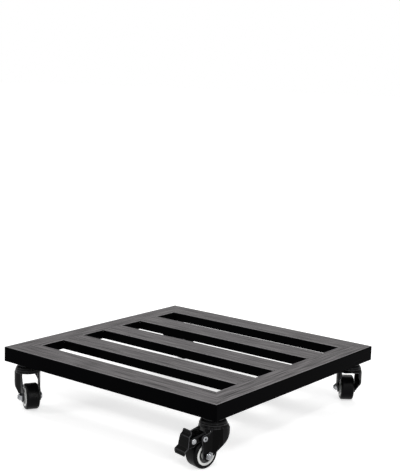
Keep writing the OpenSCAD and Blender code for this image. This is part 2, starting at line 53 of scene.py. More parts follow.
MM = 0.001
FLOOR_WIDTH = 60  # metres, so that its edge is never seen
TURNED_STEPS = 64  # faces round a turned piece
ROUND_STEPS = 4  # faces across a turned piece's rounded corner
SMOOTH_ANGLE = math.radians(35)
FACTOR, FIRST_COLOUR, SECOND_COLOUR, MIXED = 0, 6, 7, 2  # sockets of a colour Mix node
MOST_NOISE = {"From Min": 0.3, "From Max": 0.7}  # where nearly all of a noise lies
# The two masks below lay the frame's painted sheen on flat tops and painted highlight on folds.
FLAT_TOP = {"From Min": 0.97, "From Max": 1.0}  # a normal's Z, on faces that look straight up
UPPER_FOLD = {"From Min": 0.7, "From Max": 0.9}  # a normal's Z, where a fold nears the top
# Pointiness at which the casters' edges get their grey painted highlight.
PAINTED_HIGHLIGHT_POINTINESS = {"From Min": 0.503, "From Max": 0.53}  # Pointiness, which is 0.5 on a flat face
SHEET_THICKNESS = 1.5  # of the frame's folded steel, in millimetres
SHANK_R = 3.0  # of the axle bolts, in millimetres
CORNERS = ("front_left", "front_right", "back_right", "back_left")
BRAKED_CORNERS = ("front_right", "back_left")
PLAIN_CORNERS = ("front_left", "back_right")
SLATS = ("front_slat", "middle_slat", "back_slat")
RAILS_ALONG_X = ("front_rail", "back_rail", *SLATS)
RAILS_ALONG_Y = ("left_rail", "right_rail")
NUT_ON_THE_RIGHT = ("front_left",)


def linear(hex_code):
    """Turns an sRGB hex colour into the linear colour that shaders take."""
    channels = [int(hex_code[i:i + 2], 16) / 255 for i in (1, 3, 5)]
    return tuple(c / 12.92 if c <= 0.04045 else ((c + 0.055) / 1.055) ** 2.4 for c in channels)


def colour_setting(name, description, hex_code):
    """A colour in the panel, written as sRGB hex."""
    return FloatVectorProperty(
        name=name, description=description, subtype="COLOR", size=3, min=0, max=1,
        default=linear(hex_code),
    )


def size_setting(name, description, millimetres):
    """A length in the panel, written in millimetres."""
    return FloatProperty(
        name=name, description=description, unit="LENGTH", subtype="DISTANCE", precision=5,
        min=0, default=millimetres * MM,
    )


def share_setting(name, description, value):
    """A share from 0 to 1 in the panel."""
    return FloatProperty(
        name=name, description=description, subtype="FACTOR", min=0, max=1, default=value,
    )


def power_setting(name, description, watts):
    """A lamp's power in the panel."""
    return FloatProperty(
        name=name, description=description, unit="POWER", min=0, default=watts)


def angle_setting(name, description, degrees):
    """An angle in the panel, written in degrees."""
    return FloatProperty(
        name=name, description=description, subtype="ANGLE", unit="ROTATION",
        default=math.radians(degrees))


class CaddyFrameSettings(bpy.types.PropertyGroup):
    """Powder-coated frame"""

    coat_colour: colour_setting("Coat colour", "Colour of the powder coat", "#050506")
    # Painted sheen: these two greys of the upward faces stand in for the white room's reflection;
    # the streaks between them follow the steel's grain.
    painted_sheen_base_colour: colour_setting(
        "Rubbed coat colour", "Colour of the upward faces, hazed by use and dust", "#2f2d2e")
    painted_sheen_streak_colour: colour_setting(
        "Grain colour", "Colour of the steel's grain in the upward faces", "#858283")
    # Painted highlight: the pale colour on the folds stands in for the light that they catch.
    painted_fold_highlight_colour: colour_setting(
        "Fold colour", "Colour of the folds, where the coat is thin and rubs first", "#8b898a")
    coat_roughness: share_setting("Coat roughness", "How satin the powder coat is", 0.22)
    grain_width: size_setting("Grain width", "Width of one streak of the steel's grain", 1.2)
    grain_length: size_setting("Grain length", "Length of one streak of the steel's grain", 60)
    peel_width: size_setting("Orange peel", "Width of one ripple in the powder coat", 1.8)
    bead_width: size_setting("Weld width", "Width of a weld bead under the frame", 3.6)
    bead_pitch: size_setting("Weld pitch", "Distance from one weld ripple to the next", 1.6)
    fold_size: size_setting("Fold size", "Radius of the folds, filled by the ground welds", 2.2)


class CaddyCasterSettings(bpy.types.PropertyGroup):
    """Casters"""

    steel_colour: colour_setting("Steel colour", "Colour of the casters' black coat", "#040404")
    # Painted highlight: the grey on the pressed steel's edges stands in for the light that they
    # catch.
    painted_highlight_colour: colour_setting(
        "Edge colour", "Colour of the pressed steel's edges, where the coat is thin", "#4a4a4c")
    steel_roughness: share_setting("Steel roughness", "How glossy the casters' coat is", 0.2)
    pressed_grid: size_setting("Pressed grid", "Grid that rounds the pressed steel's edges", 0.32)
    pressed_passes: IntProperty(
        name="Pressed passes", description="How many times the pressed steel is smoothed",
        min=0, default=8)
    shoulder_reach: size_setting(
        "Shoulder reach", "How far the fork's shoulders swell out at the back", 3.9)
    tyre_colour: colour_setting("Tyre colour", "Colour of the rubber", "#070708")
    ring_colour: colour_setting("Ring colour", "Colour of the wheel core's plastic", "#ecedeb")
    cover_colour: colour_setting("Cover colour", "Colour of the hub covers", "#161617")
    zinc_colour: colour_setting("Zinc colour", "Colour of the zinc plating", "#a9aaac")
    bearing_colour: colour_setting("Bearing colour", "Colour of the ground steel", "#b4b5b8")
    mould_edge: size_setting("Moulded edge", "Rounding of the wheel cores' edges", 0.4)
    thread_pitch: size_setting("Thread pitch", "Pitch of the axle bolt's thread", 1.0)


class CaddyStageSettings(bpy.types.PropertyGroup):
    """Floor, light and camera"""

    floor_colour: colour_setting("Floor colour", "Colour of the floor", "#e6e6e6")
    floor_glow: share_setting(
        "Floor glow", "How much whiter than lit the floor looks near the caddy", 0.6)
    sky_light: share_setting("Sky light", "Strength of the even light from all round", 0.35)
    overhead_light: power_setting("Overhead light", "Power of the soft lamp above", 3)
    back_light: power_setting("Back light", "Power of the soft lamp behind", 11)
    right_light: power_setting("Right light", "Power of the tall soft lamp at the right", 8)
    left_light: power_setting("Left light", "Power of the soft lamp at the front left", 5)
    front_light: power_setting("Front light", "Power of the small lamp above the camera", 4)
    side_light: power_setting("Side light", "Power of the small lamp high at the right", 3)
    lens: FloatProperty(
        name="Lens", description="Focal length on a 36 mm sensor", unit="CAMERA",
        subtype="DISTANCE_CAMERA", min=1, default=78.27)
    camera_place: FloatVectorProperty(
        name="Camera place", description="Where the camera stands", subtype="TRANSLATION",
        unit="LENGTH", size=3, default=(0.9418, -1.1938, 0.4984))
    camera_yaw: angle_setting("Yaw", "Turn of the camera from looking straight back", 38.01)
    camera_pitch: angle_setting("Pitch", "How far the camera looks down", 8.82)
    camera_roll: angle_setting("Roll", "Turn of the camera about its own line of sight", 1.74)


def add_node(tree, kind, inputs=None, **settings):
    """Adds a node with its settings, and gives each input, known by its name or its number, a
    value or a link."""
    node = tree.nodes.new(kind)
    for key, value in settings.items():
        setattr(node, key, value)
    for key, value in (inputs or {}).items():
        if isinstance(value, bpy.types.NodeSocket):
            tree.links.new(value, node.inputs[key])
        else:
            node.inputs[key].default_value = value
    return node


def rgba(colour):
    """A colour with full alpha."""
    return (*colour, 1.0)


def new_material(name, build, *values):
    """A material whose shader is what build makes from the values."""
    material = bpy.data.materials.new(name)
    material.use_nodes = True
    tree = material.node_tree
    tree.nodes.clear()
    shader = build(tree, *values)
    add_node(tree, "ShaderNodeOutputMaterial", {"Surface": shader.outputs[0]})
    return material


def pattern(tree, sizes, detail=2.0):
    """Noise whose grains measure the given sizes along X, Y and Z, in metres."""
    place = add_node(tree, "ShaderNodeTexCoord")
    scaled = add_node(tree, "ShaderNodeMapping", {
        "Vector": place.outputs["Object"], "Scale": [1 / size for size in sizes]})
    noise = add_node(tree, "ShaderNodeTexNoise", {
        "Vector": scaled.outputs["Vector"], "Scale": 1.0, "Detail": detail, "Roughness": 0.5})
    return noise.outputs["Fac"]


def powder_coat(tree, settings, along):
    """Polyester powder baked on linished steel: a satin black film with a faint orange peel.
    On the upward faces a grey painted sheen stands in for the white room's reflection, with
    the steel's grain in it as long streaks along each member, drawn wider than the real ones
    so that they show. The folds carry an even pale painted highlight. The IOR is below a real
    film's, so that the black stays black in an all-white room."""
    sizes = [settings.grain_width] * 3
    sizes[along] = settings.grain_length
    grain = pattern(tree, sizes, detail=3.0)
    facing = add_node(tree, "ShaderNodeTexCoord").outputs["Normal"]
    upward = add_node(tree, "ShaderNodeSeparateXYZ", {"Vector": facing}).outputs["Z"]
    on_top = add_node(tree, "ShaderNodeMapRange", {"Value": upward, **FLAT_TOP})
    on_fold = add_node(tree, "ShaderNodeMapRange", {"Value": upward, **UPPER_FOLD})
    streak = add_node(tree, "ShaderNodeMapRange", {"Value": grain, **MOST_NOISE})
    # Painted sheen on the flat tops: two greys streaked along the steel's grain.
    hazed = add_node(tree, "ShaderNodeMix", {
        FACTOR: streak.outputs["Result"], FIRST_COLOUR: rgba(settings.painted_sheen_base_colour),
        SECOND_COLOUR: rgba(settings.painted_sheen_streak_colour)}, data_type="RGBA")
    # Painted highlight on the folds, between the flat tops and the black sides.
    upper = add_node(tree, "ShaderNodeMix", {
        FACTOR: on_top.outputs["Result"], FIRST_COLOUR: rgba(settings.painted_fold_highlight_colour),
        SECOND_COLOUR: hazed.outputs[MIXED]}, data_type="RGBA")
    colour = add_node(tree, "ShaderNodeMix", {
        FACTOR: on_fold.outputs["Result"], FIRST_COLOUR: rgba(settings.coat_colour),
        SECOND_COLOUR: upper.outputs[MIXED]}, data_type="RGBA")
    spread = 0.08
    roughness = add_node(tree, "ShaderNodeMapRange", {
        "Value": grain, **MOST_NOISE, "To Min": settings.coat_roughness - spread,
        "To Max": settings.coat_roughness + spread})
    peel = add_node(tree, "ShaderNodeBump", {
        "Height": pattern(tree, [settings.peel_width] * 3), "Distance": 0.004 * MM})
    return add_node(tree, "ShaderNodeBsdfPrincipled", {
        "Base Color": colour.outputs[MIXED], "Roughness": roughness.outputs["Result"],
        "IOR": 1.04, "Normal": peel.outputs["Normal"]})


def stove_enamel(tree, settings):
    """Black enamel baked on pressed steel: a glossy film that softens every edge. Its edges,
    found by their pointiness, carry a grey painted highlight. The IOR is lowered as the powder
    coat's is."""
    smoother, rougher = 0.04, 0.06
    dust = pattern(tree, [3 * MM] * 3)
    pointiness = add_node(tree, "ShaderNodeNewGeometry").outputs["Pointiness"]
    # Painted highlight on the sharper edges, picked out by pointiness.
    painted_edge_highlight = add_node(tree, "ShaderNodeMapRange", {"Value": pointiness, **PAINTED_HIGHLIGHT_POINTINESS})
    colour = add_node(tree, "ShaderNodeMix", {
        FACTOR: painted_edge_highlight.outputs["Result"], FIRST_COLOUR: rgba(settings.steel_colour),
        SECOND_COLOUR: rgba(settings.painted_highlight_colour)}, data_type="RGBA")
    roughness = add_node(tree, "ShaderNodeMapRange", {
        "Value": dust, **MOST_NOISE, "To Min": settings.steel_roughness - smoother,
        "To Max": settings.steel_roughness + rougher})
    waves = add_node(tree, "ShaderNodeBump", {"Height": dust, "Distance": 0.003 * MM})
    return add_node(tree, "ShaderNodeBsdfPrincipled", {
        "Base Color": colour.outputs[MIXED], "Roughness": roughness.outputs["Result"],
        "IOR": 1.12, "Normal": waves.outputs["Normal"]})


def moulded_rubber(tree, settings):
    """Vulcanised rubber from a mould: dull, with a dusty bloom on its finely gritty skin. The
    grit is drawn coarser than the real one so that it shows, and the IOR is lowered too."""
    bloom = pattern(tree, [6 * MM] * 3, detail=4.0)
    lighter = [channel * 1.7 for channel in settings.tyre_colour]
    dusty = add_node(tree, "ShaderNodeMapRange", {"Value": bloom, **MOST_NOISE})
    colour = add_node(tree, "ShaderNodeMix", {
        FACTOR: dusty.outputs["Result"], FIRST_COLOUR: rgba(settings.tyre_colour),
        SECOND_COLOUR: rgba(lighter)}, data_type="RGBA")
    roughness = add_node(tree, "ShaderNodeMapRange", {
        "Value": bloom, **MOST_NOISE, "To Min": 0.26, "To Max": 0.36})
    skin = add_node(tree, "ShaderNodeBump", {
        "Height": pattern(tree, [0.5 * MM] * 3), "Distance": 0.01 * MM, "Strength": 0.6})
    return add_node(tree, "ShaderNodeBsdfPrincipled", {
        "Base Color": colour.outputs[MIXED], "Roughness": roughness.outputs["Result"],
        "IOR": 1.14, "Normal": skin.outputs["Normal"]})


def moulded_plastic(tree, colour, roughness, grit):
    """Injection-moulded polypropylene: even colour and a finely grained skin. The grain is
    drawn coarser than the real one so that it shows."""
    tone = pattern(tree, [12 * MM] * 3)
    darker = [channel * 0.86 for channel in colour]
    spread = 0.05
    clear = add_node(tree, "ShaderNodeMapRange", {"Value": tone, **MOST_NOISE})
    body = add_node(tree, "ShaderNodeMix", {
        FACTOR: clear.outputs["Result"], FIRST_COLOUR: rgba(darker),
        SECOND_COLOUR: rgba(colour)}, data_type="RGBA")
    satin = add_node(tree, "ShaderNodeMapRange", {
        "Value": tone, **MOST_NOISE, "To Min": roughness - spread,
        "To Max": roughness + spread})
    skin = add_node(tree, "ShaderNodeBump", {
        "Height": pattern(tree, [grit] * 3), "Distance": 0.006 * MM, "Strength": 0.7})
    return add_node(tree, "ShaderNodeBsdfPrincipled", {
        "Base Color": body.outputs[MIXED], "Roughness": satin.outputs["Result"],
        "IOR": 1.49, "Normal": skin.outputs["Normal"]})


def zinc_plate(tree, settings):
    """Bright zinc on turned steel: a pale metal with cloudy, slightly blue patches."""
    cloud = pattern(tree, [4 * MM] * 3, detail=3.0)
    bluish_shares = (0.45, 0.46, 0.48)
    bluish = [channel * share for channel, share in zip(settings.zinc_colour, bluish_shares)]
    clear = add_node(tree, "ShaderNodeMapRange", {"Value": cloud, **MOST_NOISE})
    colour = add_node(tree, "ShaderNodeMix", {
        FACTOR: clear.outputs["Result"], FIRST_COLOUR: rgba(bluish),
        SECOND_COLOUR: rgba(settings.zinc_colour)}, data_type="RGBA")
    roughness = add_node(tree, "ShaderNodeMapRange", {
        "Value": cloud, **MOST_NOISE, "To Min": 0.12, "To Max": 0.24})
    return add_node(tree, "ShaderNodeBsdfPrincipled", {
        "Base Color": colour.outputs[MIXED], "Metallic": 1.0,
        "Roughness": roughness.outputs["Result"]})


def ground_steel(tree, settings):
    """Hardened bearing steel, ground bright and wiped with oil."""
    film = pattern(tree, [2 * MM] * 3)
    roughness = add_node(tree, "ShaderNodeMapRange", {
        "Value": film, **MOST_NOISE, "To Min": 0.12, "To Max": 0.22})
    return add_node(tree, "ShaderNodeBsdfPrincipled", {
        "Base Color": rgba(settings.bearing_colour), "Metallic": 1.0,
        "Roughness": roughness.outputs["Result"]})


def give_finish(piece, material):
    """Puts one material on the whole piece."""
    if piece.material_slots:
        piece.material_slots[0].material = material
    else:
        piece.data.materials.append(material)


def deselect_all():
    """Leaves edit mode and selects nothing."""
    if bpy.context.object and bpy.context.object.mode != "OBJECT":
        bpy.ops.object.mode_set(mode="OBJECT")
    bpy.ops.object.select_all(action="DESELECT")


def make_active(piece):
    """Selects one piece alone for the operators that follow."""
    deselect_all()
    piece.select_set(True)
    bpy.context.view_layer.objects.active = piece


def apply_modifier(piece, kind, **settings):
    """Adds a modifier with its settings and applies it."""
    make_active(piece)
    modifier = piece.modifiers.new(kind.lower(), kind)
    for key, value in settings.items():
        setattr(modifier, key, value)
    bpy.ops.object.modifier_apply(modifier=modifier.name)


def clean_mesh(piece):
    """Merges doubled points and turns every face outwards."""
    doubled = 0.001 * MM
    make_active(piece)
    bpy.ops.object.mode_set(mode="EDIT")
    bpy.ops.mesh.select_all(action="SELECT")
    bpy.ops.mesh.remove_doubles(threshold=doubled)
    bpy.ops.mesh.normals_make_consistent(inside=False)
    bpy.ops.object.mode_set(mode="OBJECT")


def turned(name, outline, solid=False):
    """A shape turned about the Y axis. The outline lists its section's corners in order, each
    as (radius, place along the axis, rounding), in millimetres. A solid one starts and ends on
    the axis, and the section of any other closes on itself."""
    touching = 0.01 * MM
    deselect_all()
    bpy.ops.mesh.primitive_plane_add(size=MM, location=(0, 0, 0))
    piece = bpy.context.object
    piece.name = name
    bpy.ops.object.mode_set(mode="EDIT")
    bpy.ops.mesh.merge(type="CENTER")
    last_radius, last_along, _ = outline[0]
    bpy.ops.transform.translate(value=(last_radius * MM, last_along * MM, 0))
    for radius, along, _ in outline[1:]:
        step = ((radius - last_radius) * MM, (along - last_along) * MM, 0)
        bpy.ops.mesh.extrude_vertices_move(TRANSFORM_OT_translate={"value": step})
        last_radius, last_along = radius, along
    if not solid:
        bpy.ops.mesh.select_all(action="SELECT")
        bpy.ops.mesh.edge_face_add()
        bpy.ops.mesh.delete(type="ONLY_FACE")
    for radius, along, rounding in outline:
        if rounding:
            bpy.ops.object.mode_set(mode="OBJECT")
            corner = Vector((radius, along, 0)) * MM
            for part in (*piece.data.edges, *piece.data.vertices):
                part.select = False
            for point in piece.data.vertices:
                point.select = (point.co - corner).length < touching
            bpy.ops.object.mode_set(mode="EDIT")
            bpy.ops.mesh.bevel(offset=rounding * MM, segments=ROUND_STEPS, affect="VERTICES")
    bpy.ops.mesh.select_all(action="SELECT")
    bpy.ops.mesh.spin(
        steps=TURNED_STEPS, angle=math.tau, center=(0, 0, 0), axis=(0, 1, 0),
        use_auto_merge=True)
    bpy.ops.object.mode_set(mode="OBJECT")
    clean_mesh(piece)
    bpy.ops.object.shade_smooth_by_angle(angle=SMOOTH_ANGLE)
    return piece


def joint_place(joint):
    """Where a joint stands, in metres."""
    return Vector(next(j["pos_m"] for j in frame["joints"] if j["name"] == joint))


def caster_place(corner, joint, turned_round=False):
    """Turns and moves a piece made about the Y axis onto one of a caster's cross axes."""
    trail = joint_place(corner + "_wheel_spin") - joint_place(corner + "_swivel")
    heading = math.atan2(trail.y, trail.x) + (math.pi if turned_round else 0)
    return Matrix.Translation(joint) @ Matrix.Rotation(heading, 4, "Z")


def extents(node, place):
    """The lowest and highest corner of a CAD node in the axes of a place, in millimetres."""
    back = place.inverted()
    points = [back @ point.co for point in frame["nodes"][node].data.vertices]
    return [[pick(point[axis] for point in points) / MM for axis in range(3)]
            for pick in (min, max)]


def copy_of(source, name):
    """A new object with its own copy of another's mesh."""
    piece = bpy.data.objects.new(name, source.data.copy())
    bpy.context.scene.collection.objects.link(piece)
    return piece


def place_copy(model, name, place, body, slot, *nodes):
    """A copy of a model, put in place on its body for the nodes it replaces."""
    piece = copy_of(model, name)
    piece.data.transform(place)
    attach(piece, body)
    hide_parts(*nodes)
    return piece


def drop_model(model):
    """Throws away a model once its copies are made."""
    bpy.data.objects.remove(model, do_unlink=True)


def merged_copy(node, name):
    """A copy of a CAD node as one closed mesh."""
    piece = copy_of(frame["nodes"][node], name)
    make_active(piece)
    bpy.ops.mesh.customdata_custom_splitnormals_clear()
    clean_mesh(piece)
    return piece


def fade(value, start, end):
    """Rises smoothly from 0 at the start to 1 at the end."""
    share = min(max((value - start) / (end - start), 0), 1)
    return share * share * (3 - 2 * share)


def swell_back(piece, reach):
    """Draws the backs of a fork's legs out below the crown, as the press leaves them. Each pair
    of places, in millimetres from the swivel's joint, is where the swell fades out and where it
    is full."""
    crown, axle, front, middle = (3, 9), (40, 26), (4, -7), (0, 10)
    for point in piece.data.vertices:
        along, across, depth = point.co.x / MM, abs(point.co.y) / MM, -point.co.z / MM
        share = (fade(depth, *crown) * fade(depth, *axle) * fade(along, *front)
                 * fade(across, *middle))
        point.co.x -= share * reach


def pressed_model(node, place, grid, passes, swell=0):
    """A CAD node in the axes of a place, with its edges rounded as the press and the coat leave
    them. The grid is fine enough for the rounding, and most of its faces then go again."""
    faces_kept = 0.2
    piece = merged_copy(node, "pressed_model")
    piece.data.transform(place.inverted())
    apply_modifier(piece, "REMESH", mode="VOXEL", voxel_size=grid)
    swell_back(piece, swell)
    apply_modifier(piece, "SMOOTH", factor=0.5, iterations=passes)
    apply_modifier(piece, "DECIMATE", ratio=faces_kept)
    bpy.ops.object.shade_smooth()
    return piece


def rounded_copy(node, width):
    """A copy of a CAD node whose sharp edges are rounded, as a mould leaves them."""
    flat, sharp = math.radians(1), math.radians(40)
    piece = merged_copy(node, "rounded_" + node)
    bpy.ops.object.mode_set(mode="EDIT")
    bpy.ops.mesh.select_all(action="SELECT")
    bpy.ops.mesh.dissolve_limited(angle_limit=flat)
    bpy.ops.object.mode_set(mode="OBJECT")
    apply_modifier(piece, "BEVEL", width=width, segments=3, limit_method="ANGLE",
                   angle_limit=sharp, use_clamp_overlap=True)
    bpy.ops.object.shade_smooth_by_angle(angle=SMOOTH_ANGLE)
    apply_modifier(piece, "WEIGHTED_NORMAL", keep_sharp=True)
    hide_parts(node)
    return piece


def joined(pieces, name):
    """One object made of many."""
    deselect_all()
    for piece in pieces:
        piece.select_set(True)
    bpy.context.view_layer.objects.active = pieces[0]
    bpy.ops.object.join()
    bpy.context.object.name = name
    return bpy.context.object


def cut_with(piece, tool, operation):
    """Joins, cuts or trims a piece with a tool, which is then thrown away."""
    apply_modifier(piece, "BOOLEAN", object=tool, operation=operation, solver="EXACT")
    drop_model(tool)
    clean_mesh(piece)


def hexagon(name, flats, low, high):
    """A six-sided bar along the Y axis, in millimetres, with its flats level at top and bottom."""
    deselect_all()
    bpy.ops.mesh.primitive_cylinder_add(
        vertices=6, radius=flats / 2 / math.cos(math.pi / 6) * MM, depth=(high - low) * MM,
        location=(0, (low + high) / 2 * MM, 0), rotation=(math.pi / 2, 0, 0))
    bpy.ops.object.transform_apply(location=True, rotation=True, scale=True)
    bpy.context.object.name = name
    return bpy.context.object


class CADDY_OT_stage(bpy.types.Operator):
    """Lays a pale floor, lights it softly and sets the camera"""

    bl_idname = "caddy.stage"
    bl_label = "Stage"

    def execute(self, context):
        settings = context.scene.caddy_stage
        context.scene.view_settings.view_transform = "Standard"
        self.make_world(context, settings)
        self.make_floor(settings)
        lamps = (  # each with its power, width, height and place, in watts and metres
            ("overhead_lamp", settings.overhead_light, 1.0, 1.0, (0.1, 0.1, 1.7)),
            ("back_lamp", settings.back_light, 1.2, 0.5, (-0.95, 1.25, 1.15)),
            ("right_lamp", settings.right_light, 0.16, 1.3, (1.60, -0.60, 0.75)),
            ("left_lamp", settings.left_light, 0.4, 0.4, (-1.20, -1.10, 0.80)),
            ("front_lamp", settings.front_light, 0.28, 0.28, (0.79, -1.34, 1.12)),
            ("side_lamp", settings.side_light, 0.22, 0.22, (0.95, -0.10, 1.45)))
        for lamp in lamps:
            self.make_lamp(*lamp)
        self.make_camera(context, settings)
        return {"FINISHED"}

    def seen_directly(self, tree):
        """1 for rays of the camera, of glossy reflections and through glass, and 0 for others."""
        path = add_node(tree, "ShaderNodeLightPath")
        seen = path.outputs["Is Camera Ray"]
        for kind in ("Is Glossy Ray", "Is Transmission Ray"):
            seen = add_node(tree, "ShaderNodeMath", {0: seen, 1: path.outputs[kind]},
                            operation="MAXIMUM").outputs[0]
        return seen

    def make_world(self, context, settings):
        """White to the eye and in reflections, and an even soft light for all else."""
        world = bpy.data.worlds.new("studio")
        context.scene.world = world
        world.use_nodes = True
        tree = world.node_tree
        tree.nodes.clear()
        strength = add_node(tree, "ShaderNodeMapRange", {
            "Value": self.seen_directly(tree), "To Min": settings.sky_light, "To Max": 1.0})
        white = add_node(tree, "ShaderNodeBackground", {
            "Color": (1, 1, 1, 1), "Strength": strength.outputs["Result"]})
        add_node(tree, "ShaderNodeOutputWorld", {"Surface": white.outputs[0]})

    def make_floor(self, settings):
        """A wide pale sheet that the eye sees as white, with the caddy's soft shadow on it."""
        deselect_all()
        bpy.ops.mesh.primitive_plane_add(size=FLOOR_WIDTH, location=(0, 0, 0))
        floor = bpy.context.object
        floor.name = "floor"

        def pale_floor(tree):
            """Matt painted board. To the eye it also glows, the more the farther it is from the
            middle, in metres, so that it runs into the white behind it without an edge."""
            near, far = 0.5, 2.0
            place = add_node(tree, "ShaderNodeTexCoord")
            away = add_node(tree, "ShaderNodeVectorMath", {0: place.outputs["Object"]},
                            operation="LENGTH")
            glow = add_node(tree, "ShaderNodeMapRange", {
                "Value": away.outputs["Value"], "From Min": near, "From Max": far,
                "To Min": settings.floor_glow, "To Max": 1.0})
            lit = add_node(tree, "ShaderNodeBsdfDiffuse", {"Color": rgba(settings.floor_colour)})
            bright = add_node(tree, "ShaderNodeEmission", {
                "Color": (1, 1, 1, 1), "Strength": glow.outputs["Result"]})
            white = add_node(tree, "ShaderNodeAddShader", {
                0: lit.outputs[0], 1: bright.outputs[0]})
            return add_node(tree, "ShaderNodeMixShader", {
                0: self.seen_directly(tree), 1: lit.outputs[0], 2: white.outputs[0]})

        give_finish(floor, new_material("pale_floor", pale_floor))

    def make_lamp(self, name, power, width, height, place):
        """A soft rectangular lamp that faces the caddy."""
        deselect_all()
        bpy.ops.object.light_add(type="AREA", location=place)
        lamp = bpy.context.object
        lamp.name = name
        lamp.data.energy = power
        lamp.data.shape = "RECTANGLE"
        lamp.data.size = width
        lamp.data.size_y = height
        lamp.rotation_euler = (-Vector(place)).to_track_quat("-Z", "Y").to_euler()

    def make_camera(self, context, settings):
        """A camera that is rolled, then tilted down, then turned."""
        sensor_width = 36
        deselect_all()
        bpy.ops.object.camera_add(location=settings.camera_place)
        camera = bpy.context.object
        turn = (Matrix.Rotation(settings.camera_yaw, 3, "Z")
                @ Matrix.Rotation(math.pi / 2 - settings.camera_pitch, 3, "X")
                @ Matrix.Rotation(settings.camera_roll, 3, "Z"))
        camera.rotation_euler = turn.to_euler()
        camera.data.lens = settings.lens
        camera.data.sensor_width = sensor_width
        context.scene.camera = camera


class CADDY_OT_frame(bpy.types.Operator):
    """Powder-coats the rails, the slats and the corner plates"""

    bl_idname = "caddy.frame"
    bl_label = "Frame"

    def execute(self, context):
        settings = context.scene.caddy_frame
        x_axis, y_axis = 0, 1
        along_x = new_material("powder_coat_grain_along_x", powder_coat, settings, x_axis)
        along_y = new_material("powder_coat_grain_along_y", powder_coat, settings, y_axis)
        for node in RAILS_ALONG_X:
            give_finish(frame["nodes"][node], along_x)
        for node in RAILS_ALONG_Y:
            give_finish(frame["nodes"][node], along_y)
        for corner in CORNERS:
            give_finish(frame["nodes"]["corner_plate_" + corner], along_x)
        for piece in (self.ground_welds(settings), self.fillet_welds(settings)):
            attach(piece, "frame")
            give_finish(piece, along_x)
        return {"FINISHED"}

    def ground_welds(self, settings):
        """The welds that fill the fold of the rail at each slat's end, ground flush on top."""
        height, broken_edge = 1, 0.05
        top = extents("left_rail", Matrix())[1][2]
        width = settings.fold_size / MM
        bars = []
        for slat in SLATS:
            (left, front, _), (right, back, _) = extents(slat, Matrix())
            for end, outward in ((left, -1), (right, 1)):
                deselect_all()
                bpy.ops.mesh.primitive_cube_add(
                    size=MM, location=((end + outward * width / 2) * MM,
                                       (front + back) / 2 * MM, (top - height / 2) * MM),
                    scale=(width, back - front - 2 * width, height))
                bpy.ops.object.transform_apply(location=True, rotation=True, scale=True)
                bars.append(bpy.context.object)
        welds = joined(bars, "ground_welds")
        apply_modifier(welds, "BEVEL", width=broken_edge * MM, segments=1)
        return welds

    def fillet_welds(self, settings):
        """The rippled beads inside the slots and under the slats, where the folds meet."""
        above_edge, below_top, from_leg = 1, 2.5, 3
        grid, faces_kept = 0.45, 0.4
        ripple = self.ripple(settings.bead_width)
        beads = []
        for slat in SLATS:
            (left, front, under), (right, back, top) = extents(slat, Matrix())
            ceiling = top - SHEET_THICKNESS
            for end in (left, right):
                for side in (front, back):
                    beads.append(self.bead(ripple, settings, (end, side, under + above_edge),
                                           (end, side, top - below_top)))
                beads.append(self.bead(ripple, settings, (end, front + from_leg, ceiling),
                                       (end, back - from_leg, ceiling)))
        drop_model(ripple)
        welds = joined(beads, "fillet_welds")
        apply_modifier(welds, "REMESH", mode="VOXEL", voxel_size=grid * MM)
        apply_modifier(welds, "SMOOTH", factor=0.5, iterations=2)
        apply_modifier(welds, "DECIMATE", ratio=faces_kept)
        bpy.ops.object.shade_smooth()
        return welds

    def ripple(self, width):
        """One frozen ripple of a bead: a flattened drop across the seam."""
        flattened = (0.75, 0.75, 0.55)
        deselect_all()
        bpy.ops.mesh.primitive_uv_sphere_add(
            segments=16, ring_count=8, radius=width / 2, location=(0, 0, 0))
        drop = bpy.context.object
        bpy.ops.object.mode_set(mode="EDIT")
        bpy.ops.mesh.select_all(action="SELECT")
        bpy.ops.transform.resize(value=flattened)
        bpy.ops.object.mode_set(mode="OBJECT")
        return drop

    def bead(self, ripple, settings, start, end):
        """Ripples laid side by side from one end of a seam to the other, in millimetres."""
        start, end = Vector(start) * MM, Vector(end) * MM
        along = (end - start).normalized()
        count = int((end - start).length / settings.bead_pitch) + 1
        bead = copy_of(ripple, "bead")
        bead.data.transform(Matrix.Translation(start)
                            @ Vector((0, 0, 1)).rotation_difference(along).to_matrix().to_4x4())
        apply_modifier(bead, "ARRAY", count=count, use_relative_offset=False,
                       use_constant_offset=True,
                       constant_offset_displace=along * settings.bead_pitch)
        return bead


class CADDY_OT_pressed_steel(bpy.types.Operator):
    """Rounds the edges of the forks, races and pedals and enamels them"""

    bl_idname = "caddy.pressed_steel"
    bl_label = "Pressed steel"

    def execute(self, context):
        settings = context.scene.caddy_caster
        enamel = new_material("stove_enamel", stove_enamel, settings)
        for kind, body, corners in (("fork_", "swivel_", BRAKED_CORNERS),
                                    ("fork_", "swivel_", PLAIN_CORNERS),
                                    ("upper_race_", None, CORNERS),
                                    ("brake_pedal_", "pedal_", BRAKED_CORNERS)):
            model = pressed_model(kind + corners[0], self.swivel_place(corners[0]),
                                  settings.pressed_grid, settings.pressed_passes,
                                  settings.shoulder_reach if kind == "fork_" else 0)
            for corner in corners:
                piece = place_copy(model, "pressed_" + kind + corner, self.swivel_place(corner),
                                   body + corner if body else "frame", "caster_steel",
                                   kind + corner)
                give_finish(piece, enamel)
            drop_model(model)
        return {"FINISHED"}

    def swivel_place(self, corner):
        """The axes of a caster's swivel, with X towards its wheel."""
        return caster_place(corner, joint_place(corner + "_swivel"))


